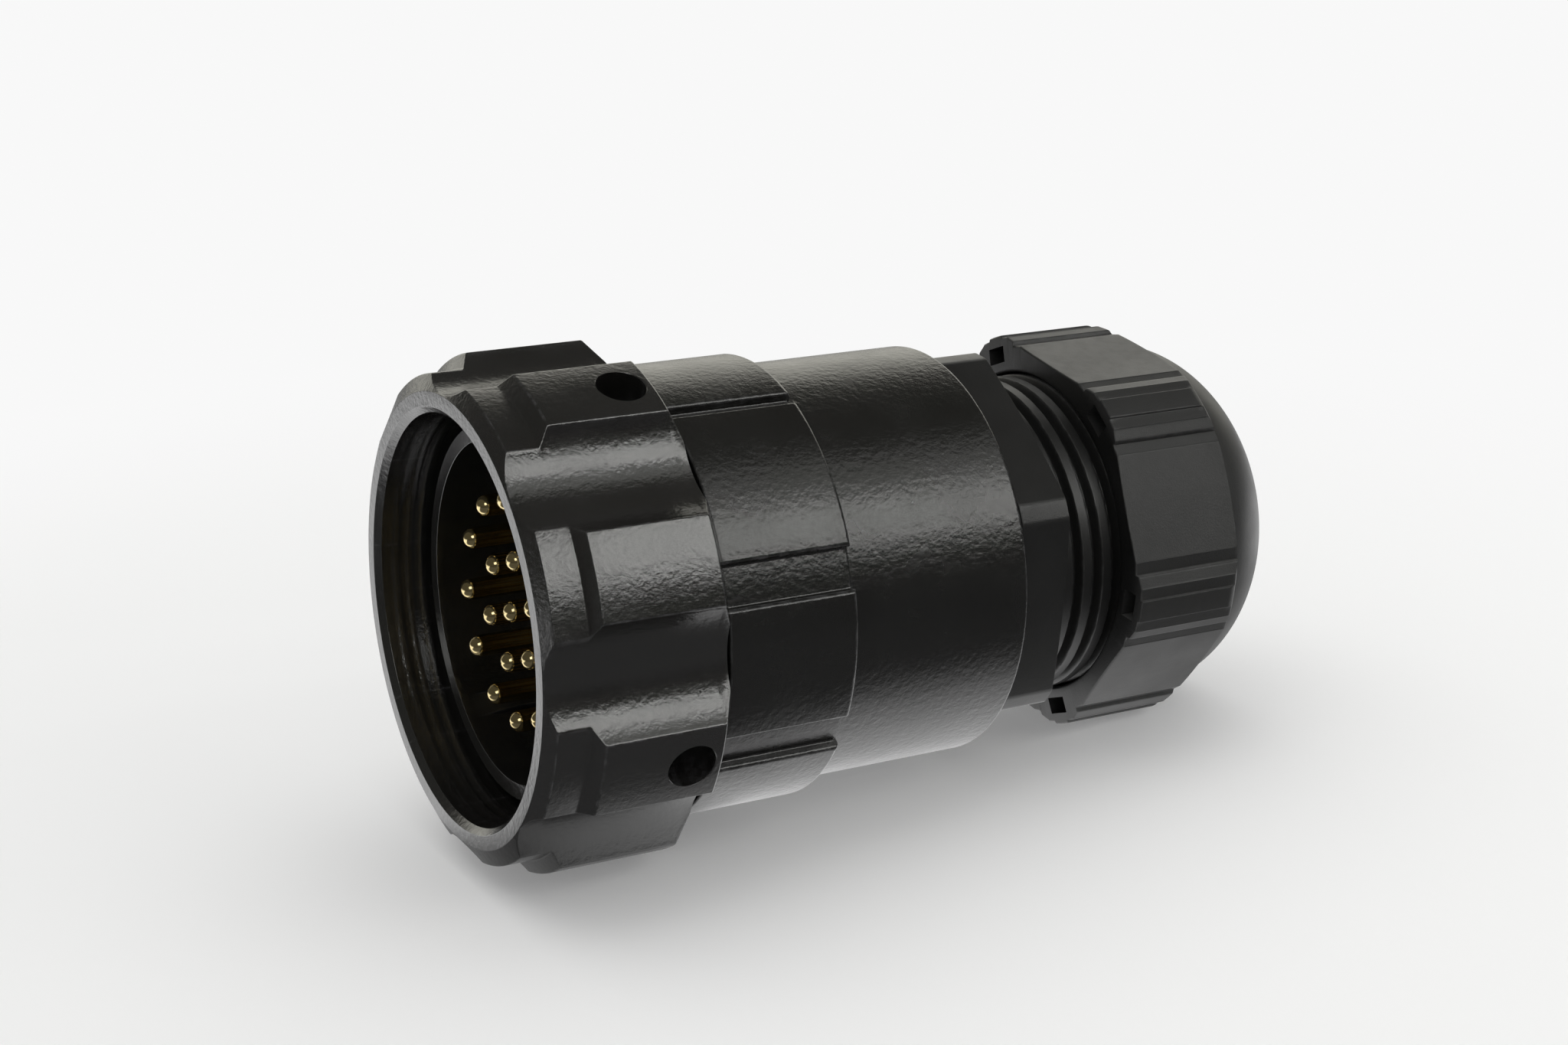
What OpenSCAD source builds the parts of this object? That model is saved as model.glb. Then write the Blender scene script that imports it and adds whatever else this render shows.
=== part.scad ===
// In-line cable plug with nineteen pins: coupling ring, plug shell, backshell and domed cable gland.
// The axis runs along X from the mating face, at X = 0, to the cable end. +Z is up as the plug lies.
// Roll angles are counted about the axis from +Z towards +Y.
// Radii are built up outwards: from the contacts to the ring, and from the gland's throat to its nut.

/* [Contacts and insulators] */
// Diameter of a contact pin
pin_d = 2.4; // [1.6:0.1:2.8]
// Depth of the pin tips below the ring's front face
pin_depth = 6.2; // [4:0.1:12]
// Radius of the outer circle of contacts
outer_circle_r = 12.2; // [11.5:0.1:14]
// Radius of the inner circle of contacts
inner_circle_r = 6.1; // [5.5:0.1:6.8]
// Number of contacts on the outer circle
outer_count = 12; // [8:1:12]
// Number of contacts on the inner circle
inner_count = 6; // [4:1:6]
// Roll angle of the first outer contact
contact_roll = 3.3; // [0:0.1:30]
// Diameter of the solder cup
cup_d = 3.4; // [3:0.1:3.8]
// Length of the solder cup behind the rear insulator
cup_len = 6.5; // [4:0.1:9]
// Wall of the solder cup
cup_wall = 0.45; // [0.3:0.05:0.6]
// How far the collar that locks a contact stands out from the cup
collar_step = 0.3; // [0.2:0.05:0.4]
// Length of that collar
collar_len = 2.4; // [1:0.1:3]
// Play around each contact in the insulators
contact_play = 0.1; // [0.05:0.05:0.2]
// Width of the insulators outside the outer circle of contacts
insulator_margin = 6.9; // [4:0.1:9]
// Depth of the insulator's face below the ring's front face
insulator_depth = 19.6; // [15:0.1:22]
// Thickness of the front insulator
front_insulator_len = 6.4; // [4:0.1:9]
// Thickness of the rear insulator
rear_insulator_len = 3.5; // [2:0.1:5]
// Play between the insulators and the shell
insulator_play = 0.1; // [0.05:0.05:0.2]
// Length of the threaded ring that holds the insulators
retainer_len = 2; // [1:0.1:3]
// Radial width of that ring
retainer_w = 2.2; // [1.5:0.1:3]

/* [Plug shell] */
// Wall of the shell around the insulators
seat_wall = 1.2; // [0.8:0.1:1.5]
// Wall of the barrel in front of the insulators
barrel_wall = 1.8; // [1.6:0.1:2.4]
// Depth of the barrel's rim below the ring's front face
barrel_depth = 5.9; // [3:0.1:8]
// Width of the flange that holds the ring
flange_len = 2; // [1:0.1:3]
// Room behind the retaining ring in the shell
spigot_room = 0.5; // [0.2:0.1:3]
// Width of the polarising key inside the barrel
key_w = 3; // [2:0.1:5]
// Height of the polarising key
key_h = 1.2; // [0.6:0.1:2]
// Roll angle of the polarising key
key_roll = 140; // [100:1:180]
// Thickness of the face seal on the flange
mating_seal_t = 1.1; // [0.6:0.1:2]
// Play around the face seal, the gasket and the sealing insert
seal_play = 0.1; // [0.05:0.05:0.2]

/* [Coupling ring] */
// Length of the coupling ring
ring_len = 20.3; // [18:0.1:26]
// Gap around the barrel for the shell of the socket, up to the root of the ring's thread
mating_gap = 1.8; // [1.2:0.1:3]
// Lead-in chamfer of the mouth
mouth_chamfer = 0.7; // [0.3:0.1:1.2]
// Width of the flat front face
face_w = 1.6; // [1.2:0.1:1.8]
// Length of the bevel behind the front face
face_bevel = 0.9; // [0.4:0.1:2]
// Wall between the thread's root and the floor of the flutes
flute_wall = 2.4; // [2.3:0.1:4]
// Radius of the cutter that mills the flutes between the lugs
flute_r = 8.6; // [7:0.1:11]
// Height of the low step in front of each lug above the floor of the flutes
land_h = 1.7; // [0.8:0.1:2.5]
// Length of that low step
land_len = 3.6; // [2:0.1:5]
// Length of the ramp from the low step up to the lug
ramp_len = 1; // [0.4:0.1:2]
// Height of the lugs above the low step
lug_h = 1.7; // [0.8:0.1:3]
// Number of grip lugs
lug_count = 8; // [6:1:10]
// Length of the rear chamfer of the lugs
rear_chamfer = 1.4; // [0.6:0.1:2.4]
// Width of the ring's rear face
ring_rear_w = 1.9; // [1.2:0.1:3]
// Width of the inner lip that keeps the ring on the plug
lip_len = 2.4; // [1.5:0.1:3.5]
// Depth of the counterbore behind that lip
counterbore_len = 2.6; // [1.5:0.1:4]
// Diameter of the spanner holes in the lugs
spanner_d = 4.8; // [3:0.1:5.5]
// Depth of the spanner holes
spanner_depth = 3.2; // [1:0.1:3.6]
// Distance of the spanner holes from the ring's rear end
spanner_from_rear = 4.7; // [4.2:0.1:7]
// Running clearance around and beside the ring
ring_clearance = 0.3; // [0.2:0.05:0.5]

/* [Backshell] */
// Wall of the smooth rear body
body_wall = 2.9; // [2:0.1:4]
// Length of the smooth rear body
body_len = 21.9; // [20:0.1:40]
// Step from the rear body up to the floor of the recesses
recess_step = 0.3; // [0.1:0.05:0.8]
// Depth of the recesses between the raised pads
recess_depth = 1.1; // [0.8:0.1:2]
// Width of the recesses as an angle
recess_angle = 10.7; // [6:0.1:16]
// Roll angle of the recess below the wide pad
recess_roll = -73.9; // [-90:0.1:-60]
// Number of pads
pad_count = 8; // [6:1:10]
// Length of the pads
pad_len = 14.9; // [10:0.1:20]
// Angle by which the wide pad reaches into the recess above it
wide_pad_angle = 7.2; // [0:0.1:9]
// Rounding of the pads' rear edge
pad_round = 0.7; // [0.3:0.1:0.8]
// Rounding of the rear edge
body_round = 0.5; // [0.4:0.1:1.8]
// Play between the plug shell and the backshell
backshell_play = 0.1; // [0.05:0.05:0.2]

/* [Gland body] */
// Radius of the bore through the stub
throat_r = 13.6; // [12.5:0.1:14.2]
// Wall of the stub that screws into the backshell
stub_wall = 4.8; // [3:0.1:5.5]
// Length of the stub, which ends flush with the inside of the backshell's rear wall
stub_len = 6.5; // [4:0.1:9]
// How far the hexagon's flats stand out from the stub
hex_ledge = 1.8; // [0.8:0.1:2.4]
// How far the hexagon's corners stand out from its flats
hex_corner_h = 2.5; // [1.2:0.1:2.9]
// Thickness of the hexagon
hex_len = 6; // [3:0.1:8]
// Length of the turned chamfer on the hexagon's rear side
hex_chamfer = 0.4; // [0.2:0.1:1.8]
// Roll angle of one corner of the hexagon
hex_roll = -67.4; // [-90:0.1:-30]
// Thickness of the flat gasket in front of the hexagon
gasket_t = 0.9; // [0.5:0.1:2]
// How far the gasket stays inside the hexagon's flats
gasket_inset = 0.1; // [0.05:0.05:0.4]
// Step in the neck's bore in front of the clamping cage
seat_step = 1.4; // [0.8:0.1:2]
// Wall of the neck, with its thread
neck_wall = 3.5; // [2.4:0.1:4]
// Length of the neck behind the hexagon
neck_len = 15.6; // [14.5:0.1:20]
// Room left in the neck's bore when the nut is tight
neck_bore_room = 0.6; // [0.3:0.1:2]

/* [Clamping cage and seal] */
// Wall of the cage's sleeve
cage_wall = 1.4; // [1:0.1:2]
// Length of the sleeve inside the neck
cage_sleeve_len = 9.6; // [6:0.1:10]
// How far the cage's shoulder reaches over the end of the neck
shoulder_step = 1.4; // [0.8:0.1:2]
// Thickness of that shoulder
cage_shoulder_len = 1.4; // [0.8:0.1:2]
// Length of the clamping fingers
finger_len = 6.6; // [4:0.1:7.5]
// How far the fingers lean in from the sleeve to their tips
finger_taper = 1.1; // [0.6:0.1:1.6]
// Wall of a finger at its tip
finger_wall = 1.3; // [0.8:0.1:1.6]
// Number of fingers
finger_count = 12; // [8:1:16]
// Width of the slits between the fingers
slit_w = 0.9; // [0.5:0.1:1.5]
// Radius of the cable hole in the seal
seal_bore_r = 11; // [8:0.1:12.4]
// Length of the seal
seal_len = 11; // [6:0.1:13]
// Play around the cage and the seal
cage_play = 0.3; // [0.2:0.05:0.4]
// Free travel of the nut before the cage lands on the neck
clamp_travel = 3; // [1.5:0.1:4]

/* [Gland nut] */
// Clearance between the nut and the neck
nut_clearance = 0.3; // [0.2:0.05:0.4]
// Wall of the nut at the middle of its flats
nut_wall = 2.2; // [1.8:0.1:4]
// How far the nut's corners stand out from its flats
nut_corner_h = 2.2; // [1.2:0.1:3]
// Roll angle of one corner of the nut
nut_roll = -40.2; // [-60:0.1:0]
// Length of thread in sight between the hexagon and the nut
thread_gap = 8.2; // [6:0.1:12]
// Length of the hexagon up to where its corners round off
nut_flat_len = 12.4; // [10:0.1:16]
// Length of the rounded shoulder behind the flats
nut_shoulder_len = 2.2; // [1.4:0.1:4]
// How far the dome's edge lies inside the flats
dome_step = 0.8; // [0.4:0.1:1.4]
// Height of the full dome above its widest circle
dome_h = 14.2; // [12.5:0.1:18]
// How far that circle lies in front of the end of the shoulder
dome_sink = 2.2; // [1:0.1:3]
// Radius of the cable hole in the dome
cable_hole_r = 12.6; // [12:0.1:14]
// Bevel of the nut's front edges
nut_bevel = 0.3; // [0.2:0.1:1.2]
// Width of a corner groove
rib_w = 1.4; // [0.6:0.1:1.8]
// Depth of a corner groove
rib_depth = 0.3; // [0.2:0.05:0.8]
// Width of the pocket in the front face at each corner
pocket_w = 3.2; // [1:0.1:3.6]
// Radial height of that pocket
pocket_h = 1.9; // [1:0.1:2.2]
// Depth of that pocket
pocket_depth = 8; // [3:0.5:10]
// Wall between the thread and the pocket
pocket_wall = 1.2; // [1:0.1:1.8]

/* [Hidden] */
$fn = 96;
// Cuts and joined shapes reach this far past the faces where they meet
over = 1;
// Angles of the corner grooves from the nut's corner
rib_angles = [5, 11.9];
hexagon = 6;

// Radii from the contacts outwards
insulator_r = outer_circle_r + insulator_margin;
insulator_seat_r = insulator_r + insulator_play;
barrel_r = insulator_seat_r + seat_wall;
barrel_front_r = barrel_r - barrel_wall;
lip_r = barrel_r + ring_clearance;
thread_root_r = barrel_r + mating_gap;
flange_r = thread_root_r - ring_clearance;
mouth_r = thread_root_r + mouth_chamfer;
face_r = mouth_r + face_w;
flute_floor_r = thread_root_r + flute_wall;
land_r = flute_floor_r + land_h;
lug_r = land_r + lug_h;
backshell_bore_r = barrel_r + backshell_play;
body_r = backshell_bore_r + body_wall;
recess_r = body_r + recess_step;
pad_r = recess_r + recess_depth;
counterbore_r = body_r + ring_clearance;
ring_rear_r = counterbore_r + ring_rear_w;

// Radii from the gland's throat outwards
stub_r = throat_r + stub_wall;
hex_flat_r = stub_r + hex_ledge;
hex_corner_r = hex_flat_r + hex_corner_h;
neck_bore_r = throat_r + seat_step;
neck_r = neck_bore_r + neck_wall;
cage_r = neck_bore_r - cage_play;
cage_shoulder_r = neck_bore_r + shoulder_step;
finger_tip_r = cage_r - finger_taper;
seal_r = cage_r - cage_wall;
nut_bore_r = neck_r + nut_clearance;
nut_flat_r = nut_bore_r + nut_wall;
nut_corner_r = nut_flat_r + nut_corner_h;
dome_r = nut_flat_r - dome_step;
cone_front_r = cage_shoulder_r + cage_play;
cone_rear_r = finger_tip_r + cage_play;

// Places along the axis, from the mating face to the cable end
lip_rear_x = ring_len - counterbore_len;
lip_front_x = lip_rear_x - lip_len;
flange_rear_x = lip_front_x - ring_clearance;
flange_front_x = flange_rear_x - flange_len;
backshell_x = lip_rear_x + ring_clearance;
pad_x = ring_len + 2 * ring_clearance;
body_x = pad_x + pad_len;
backshell_end_x = body_x + body_len;
rear_insulator_x = insulator_depth + front_insulator_len;
collar_x = rear_insulator_x - collar_len;
retainer_x = rear_insulator_x + rear_insulator_len;
spigot_end_x = retainer_x + retainer_len + spigot_room;
cup_end_x = retainer_x + cup_len;
stub_x = backshell_end_x - stub_len;
hex_x = backshell_end_x + gasket_t;
neck_x = hex_x + hex_len;
neck_end_x = neck_x + neck_len;
nut_x = neck_x + thread_gap;
nut_shoulder_x = nut_x + nut_flat_len;
nut_shoulder_end_x = nut_shoulder_x + nut_shoulder_len;
dome_x = nut_shoulder_end_x - dome_sink;
nut_end_x = dome_x + dome_h * sqrt(1 - pow(cable_hole_r / dome_r, 2));
cage_shoulder_x = neck_end_x + clamp_travel + cage_play;
cage_sleeve_x = cage_shoulder_x - cage_sleeve_len;
finger_x = cage_shoulder_x + cage_shoulder_len;
finger_end_x = finger_x + finger_len;
seal_x = finger_x - seal_len;
neck_seat_x = min(cage_sleeve_x, seal_x) - clamp_travel - cage_play - neck_bore_room;

contact_count = 1 + inner_count + outer_count;
// The inner contacts lie a step and a half of the outer circle further round
inner_roll = contact_roll + 1.5 * 360 / outer_count;
function contact_name(i) = str("contact_", i < 10 ? "0" : "", i);

metal_black = [0.05, 0.05, 0.055];
paint_black = [0.03, 0.03, 0.032];
nylon_black = [0.09, 0.09, 0.095];
rubber_black = [0.12, 0.12, 0.12];
insulator_black = [0.07, 0.07, 0.07];
gold = [0.83, 0.62, 0.25];

// Stands a shape built along local Z on the axis, so that it runs to the cable end from x
module on_axis(x = 0) {
    translate([x, 0, 0]) rotate([0, 90, 0]) children();
}

// Turns local X to a roll angle
module at_roll(roll) {
    rotate([0, 0, 180 - roll]) children();
}

// Repeats its children around the axis, starting at a roll angle
module ring_of(count, first_roll) {
    for (i = [0:count - 1]) at_roll(first_roll + i * 360 / count) children();
}

// A tube along the axis between two places
module tube(x0, x1, outer_r, inner_r) {
    on_axis(x0) difference() {
        cylinder(h = x1 - x0, r = outer_r);
        translate([0, 0, -over]) cylinder(h = x1 - x0 + 2 * over, r = inner_r);
    }
}

// Points of an arc in a turned profile, as radius and place along the axis
function arc(centre, r, from, to, steps = 8) =
    [for (i = [0:steps]) let (a = from + (to - from) * i / steps) centre + r * [cos(a), sin(a)]];

// Points of a quarter ellipse that starts at its widest radius and rises along the axis
function ellipse_points(centre_x, r, h, end_r, base_r = 0, steps = 20) =
    let (last = acos((end_r - base_r) / (r - base_r)))
    [for (i = [0:steps]) let (a = last * i / steps) [base_r + (r - base_r) * cos(a), centre_x + h * sin(a)]];

module coupling_ring() {
    ramp_x = face_bevel + land_len;
    lug_x = ramp_x + ramp_len;
    color(metal_black) difference() {
        on_axis() rotate_extrude() polygon([
            [mouth_r, 0], [face_r, 0], [land_r, face_bevel], [land_r, ramp_x], [lug_r, lug_x],
            [lug_r, ring_len - rear_chamfer], [ring_rear_r, ring_len], [counterbore_r, ring_len],
            [counterbore_r, lip_rear_x], [lip_r, lip_rear_x], [lip_r, lip_front_x],
            [thread_root_r, lip_front_x], [thread_root_r, mouth_chamfer]
        ]);
        on_axis(-over) ring_of(lug_count, 0) translate([flute_floor_r + flute_r, 0, 0])
            cylinder(h = ring_len + 2 * over, r = flute_r);
        on_axis(ring_len - spanner_from_rear) ring_of(lug_count / 2, -180 / lug_count)
            translate([lug_r - spanner_depth, 0, 0]) rotate([0, 90, 0])
                cylinder(h = spanner_depth + over, d = spanner_d);
    }
}

module plug_shell() {
    rim_round = barrel_wall / 3;
    key_x = barrel_depth + rim_round;
    key_end_x = insulator_depth - seal_play;
    color(metal_black) union() {
        on_axis() rotate_extrude() polygon(concat(
            [[barrel_front_r, barrel_depth]],
            arc([barrel_r - rim_round, key_x], rim_round, -90, 0),
            [[barrel_r, flange_front_x], [flange_r, flange_front_x], [flange_r, flange_rear_x],
             [barrel_r, flange_rear_x], [barrel_r, spigot_end_x], [insulator_seat_r, spigot_end_x],
             [insulator_seat_r, insulator_depth], [barrel_front_r, insulator_depth]]
        ));
        on_axis(key_x) at_roll(key_roll) translate([barrel_front_r - key_h, -key_w / 2, 0])
            cube([key_h + barrel_wall / 2, key_w, key_end_x - key_x]);
    }
}

module mating_seal() {
    color(rubber_black)
        tube(flange_front_x - mating_seal_t, flange_front_x, flange_r, barrel_r + seal_play);
}

// Where a contact sits on the face of the insulators: the first is in the middle
function contact_place(i) =
    i == 1 ? [0, 0]
    : i <= 1 + inner_count
        ? [inner_circle_r, inner_roll + (i - 2) * 360 / inner_count]
        : [outer_circle_r, contact_roll + (i - 2 - inner_count) * 360 / outer_count];

// Puts a shape where a contact sits
module at_contact(i) {
    at_roll(contact_place(i)[1]) translate([contact_place(i)[0], 0, 0]) children();
}

module contact(i) {
    pin_r = pin_d / 2;
    cup_r = cup_d / 2;
    collar_r = cup_r + collar_step;
    color(gold) on_axis() at_contact(i) rotate_extrude() polygon(concat(
        arc([0, pin_depth + pin_r], pin_r, -90, 0),
        [[pin_r, collar_x], [collar_r, collar_x], [collar_r, rear_insulator_x],
         [cup_r, rear_insulator_x], [cup_r, cup_end_x], [cup_r - cup_wall, cup_end_x],
         [cup_r - cup_wall, retainer_x + cup_wall], [0, retainer_x]]
    ));
}

module front_insulator() {
    color(insulator_black) on_axis(insulator_depth) difference() {
        cylinder(h = front_insulator_len, r = insulator_r);
        for (i = [1:contact_count]) at_contact(i) {
            translate([0, 0, -over])
                cylinder(h = front_insulator_len + 2 * over, d = pin_d + 2 * contact_play);
            translate([0, 0, collar_x - insulator_depth])
                cylinder(h = front_insulator_len, d = cup_d + 2 * (collar_step + contact_play));
        }
    }
}

module rear_insulator() {
    color(insulator_black) on_axis(rear_insulator_x) difference() {
        cylinder(h = rear_insulator_len, r = insulator_r);
        for (i = [1:contact_count]) at_contact(i) translate([0, 0, -over])
            cylinder(h = rear_insulator_len + 2 * over, d = cup_d + 2 * contact_play);
    }
}

module insulator_retainer() {
    color(metal_black)
        tube(retainer_x, retainer_x + retainer_len, insulator_r, insulator_r - retainer_w);
}

// The recess between two pads: a sector that stops at the recess floor
module pad_recess(from, to) {
    reach = 2 * pad_r;
    difference() {
        linear_extrude(pad_len + 2 * over) polygon([
            [0, 0],
            reach * [-cos(from), sin(from)],
            reach * [-cos(to), sin(to)]
        ]);
        translate([0, 0, -over]) cylinder(h = pad_len + 4 * over, r = recess_r);
    }
}

module backshell() {
    pitch = 360 / pad_count;
    color(paint_black) difference() {
        on_axis() rotate_extrude() polygon(concat(
            [[backshell_bore_r, backshell_x], [body_r, backshell_x], [body_r, pad_x], [pad_r, pad_x]],
            arc([pad_r - pad_round, body_x - pad_round], pad_round, 0, 90),
            [[body_r, body_x]],
            arc([body_r - body_round, backshell_end_x - body_round], body_round, 0, 90),
            [[stub_r, backshell_end_x], [stub_r, stub_x], [backshell_bore_r, stub_x]]
        ));
        on_axis(pad_x - over) for (i = [0:pad_count - 1])
            let (middle = recess_roll + i * pitch, narrowing = i == 1 ? wide_pad_angle : 0)
                pad_recess(middle - recess_angle / 2 + narrowing, middle + recess_angle / 2);
    }
}

module gland_gasket() {
    color(rubber_black) tube(backshell_end_x, hex_x, hex_flat_r - gasket_inset, stub_r + seal_play);
}

module gland_body() {
    color(nylon_black) difference() {
        union() {
            intersection() {
                on_axis(hex_x) at_roll(hex_roll)
                    linear_extrude(hex_len) circle(r = hex_flat_r / cos(180 / hexagon), $fn = hexagon);
                on_axis() rotate_extrude() polygon([
                    [0, hex_x], [hex_corner_r, hex_x], [hex_corner_r, neck_x - hex_chamfer],
                    [hex_flat_r - hex_chamfer / 2, neck_x], [0, neck_x]
                ]);
            }
            on_axis(stub_x) cylinder(h = neck_x - stub_x, r = stub_r);
            on_axis(neck_x - over) cylinder(h = neck_len + over, r = neck_r);
        }
        on_axis(stub_x - over) cylinder(h = neck_end_x - stub_x + 2 * over, r = throat_r);
        on_axis(neck_seat_x) cylinder(h = neck_end_x - neck_seat_x + over, r = neck_bore_r);
    }
}

module clamping_cage() {
    color(nylon_black) difference() {
        on_axis() rotate_extrude() polygon([
            [seal_r, cage_sleeve_x], [cage_r, cage_sleeve_x], [cage_r, cage_shoulder_x],
            [cage_shoulder_r, cage_shoulder_x], [cage_shoulder_r, finger_x],
            [finger_tip_r, finger_end_x], [finger_tip_r - finger_wall, finger_end_x], [seal_r, finger_x]
        ]);
        on_axis(finger_x) ring_of(finger_count, 0)
            translate([0, -slit_w / 2, 0]) cube([2 * cage_shoulder_r, slit_w, finger_len + over]);
    }
}

module sealing_insert() {
    color(rubber_black) tube(seal_x, finger_x, seal_r - seal_play, seal_bore_r);
}

// Radius of the nut's outline at an angle from a corner
function nut_outline_r(angle) = min(nut_corner_r, nut_flat_r / cos(180 / hexagon - angle));

// Outline of the nut: a hexagon with grooves on both sides of each corner
module nut_outline() {
    difference() {
        circle(r = nut_flat_r / cos(180 / hexagon), $fn = hexagon);
        for (corner = [0:hexagon - 1], side = [-1, 1], angle = rib_angles)
            rotate(corner * 360 / hexagon + side * angle)
                translate([nut_outline_r(angle) - rib_depth, -rib_w / 2])
                    square([rib_depth + over, rib_w]);
    }
}

module gland_nut() {
    shoulder_root_r = dome_r - over;
    color(nylon_black) difference() {
        union() {
            intersection() {
                on_axis(nut_x) at_roll(nut_roll)
                    linear_extrude(nut_shoulder_end_x - nut_x) nut_outline();
                on_axis() rotate_extrude() polygon(concat(
                    [[0, nut_x], [nut_flat_r, nut_x], [nut_corner_r, nut_x + nut_bevel]],
                    ellipse_points(nut_shoulder_x, nut_corner_r, nut_shoulder_len,
                                   shoulder_root_r, shoulder_root_r),
                    [[0, nut_shoulder_end_x]]
                ));
            }
            on_axis() rotate_extrude() polygon(concat(
                [[0, dome_x]],
                ellipse_points(dome_x, dome_r, dome_h, cable_hole_r),
                [[0, nut_end_x]]
            ));
        }
        on_axis() rotate_extrude() polygon([
            [0, nut_x - over], [nut_bore_r, nut_x - over], [nut_bore_r, cage_shoulder_x],
            [cone_front_r, cage_shoulder_x], [cone_front_r, finger_x], [cone_rear_r, finger_end_x],
            [cable_hole_r, finger_end_x], [cable_hole_r, nut_end_x + over], [0, nut_end_x + over]
        ]);
        on_axis(nut_x - over) ring_of(hexagon, nut_roll)
            translate([nut_bore_r + pocket_wall, -pocket_w / 2, 0])
                cube([pocket_h, pocket_w, pocket_depth + over]);
    }
}

coupling_ring();
plug_shell();
mating_seal();
front_insulator();
rear_insulator();
insulator_retainer();
backshell();
gland_gasket();
gland_body();
clamping_cage();
sealing_insert();
gland_nut();
for (i = [1:contact_count]) {
    contact(i);
}
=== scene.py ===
import math
from typing import NamedTuple

import bmesh
import bpy
import numpy as np
from bpy.props import FloatProperty, FloatVectorProperty, IntProperty, PointerProperty
from bpy.types import Operator, Panel, PropertyGroup
from mathutils import Matrix, Quaternion, Vector


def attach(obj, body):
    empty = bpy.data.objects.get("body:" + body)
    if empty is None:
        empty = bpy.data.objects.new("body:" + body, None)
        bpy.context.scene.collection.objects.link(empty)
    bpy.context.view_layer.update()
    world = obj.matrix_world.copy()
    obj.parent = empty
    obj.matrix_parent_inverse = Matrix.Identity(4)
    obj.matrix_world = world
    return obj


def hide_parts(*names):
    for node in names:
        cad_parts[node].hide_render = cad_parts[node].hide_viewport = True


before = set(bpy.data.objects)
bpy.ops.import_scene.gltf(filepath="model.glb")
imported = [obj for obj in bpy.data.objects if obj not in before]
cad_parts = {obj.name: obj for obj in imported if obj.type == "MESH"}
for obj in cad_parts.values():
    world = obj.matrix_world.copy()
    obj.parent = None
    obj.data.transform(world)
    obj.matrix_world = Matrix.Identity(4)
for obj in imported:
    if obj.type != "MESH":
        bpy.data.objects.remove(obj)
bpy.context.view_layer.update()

bl_info = {
    "name": "Threaded cable plug",
    "version": (1, 0, 0),
    "blender": (4, 5, 0),
    "location": "3D View > Sidebar > Cable plug",
    "description": "Dresses the packed cable plug: ring, shell, pins, backshell, gland and stage",
    "category": "Add Mesh",
}

MM = 0.001
FULL_TURN = 2 * math.pi
HEXAGON = 6
SHARP_ANGLE = math.radians(38)


def length(name, description, millimetres):
    """A length that the panel shows in the scene's units."""
    return FloatProperty(name=name, description=description, default=millimetres * MM,
                         unit="LENGTH", precision=5)


def angle(name, description, degrees):
    return FloatProperty(name=name, description=description, default=math.radians(degrees),
                         subtype="ANGLE")


def count(name, description, number):
    return IntProperty(name=name, description=description, default=number, min=1)


def brightness(name, description, radiance):
    return FloatProperty(name=name, description=description, default=radiance, min=0)


def point(name, description, *millimetres):
    return FloatVectorProperty(name=name, description=description, size=3,
                               default=[value * MM for value in millimetres], subtype="TRANSLATION")


def colour(name, description, value):
    return FloatVectorProperty(name=name, description=description, default=value, size=3,
                               min=0, max=1, subtype="COLOR")


class RingSettings(PropertyGroup):
    """Sizes of the fluted coupling ring."""
    ring_length: length("Length", "Length of the coupling ring", 20.3)
    lug_radius: length("Lug radius", "Radius over the grip lugs", 28)
    land_radius: length("Land radius", "Radius of the low step in front of each lug", 26.3)
    face_radius: length("Face radius", "Outer radius of the flat front face", 24.5)
    rear_radius: length("Rear radius", "Outer radius of the rear face", 25.6)
    flute_floor: length("Flute floor", "Radius of the floor of the flutes", 24.6)
    flute_cutter: length("Flute cutter", "Radius of the cutter that mills the flutes", 8.6)
    edge: length("Broken edge", "Width over which the edges of the flutes are broken", 0.2)
    bore_radius: length("Bore radius", "Radius of the bore at the root of its thread", 22.2)
    lip_radius: length("Lip radius", "Radius of the lip that keeps the ring on the plug", 20.7)
    thread_pitch: length("Thread pitch", "Pitch of the coupling thread", 1.59)
    thread_depth: length("Thread depth", "Depth of the coupling thread", 0.05)
    hole_radius: length("Spanner hole", "Radius of the spanner holes", 2.65)
    hole_depth: length("Hole depth", "Depth of the spanner holes", 5)
    hole_place: length("Hole place", "Place of the spanner holes along the axis", 15.6)
    hole_roll: angle("Hole roll", "Roll angle of the first spanner hole", -22.5)
    lugs: count("Lugs", "Number of grip lugs", 8)


class ShellSettings(PropertyGroup):
    """Sizes of the plug shell inside the ring."""
    barrel_radius: length("Barrel radius", "Outer radius of the barrel", 20.4)
    barrel_bore: length("Barrel bore", "Inner radius of the barrel", 18.6)
    rim_place: length("Rim place", "Place of the barrel's rim along the axis", 5.9)
    key_width: length("Key width", "Width of the polarising key", 3)
    key_height: length("Key height", "Height of the polarising key", 0.7)
    key_roll: angle("Key roll", "Roll angle of the polarising key", 140)


class PinSettings(PropertyGroup):
    """Sizes and places of the contacts."""
    pin_radius: length("Pin radius", "Radius of a contact pin", 1.2)
    tip_place: length("Tip place", "Place of the pin tips along the axis", 6.2)
    outer_circle: length("Outer circle", "Radius of the outer circle of contacts", 12.2)
    inner_circle: length("Inner circle", "Radius of the inner circle of contacts", 6.1)
    outer_pins: count("Outer pins", "Number of contacts on the outer circle", 12)
    inner_pins: count("Inner pins", "Number of contacts on the inner circle", 6)
    outer_roll: angle("Outer roll", "Roll angle of the first outer contact", 3.3)
    inner_roll: angle("Inner roll", "Roll angle of the first inner contact", 48.3)


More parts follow.
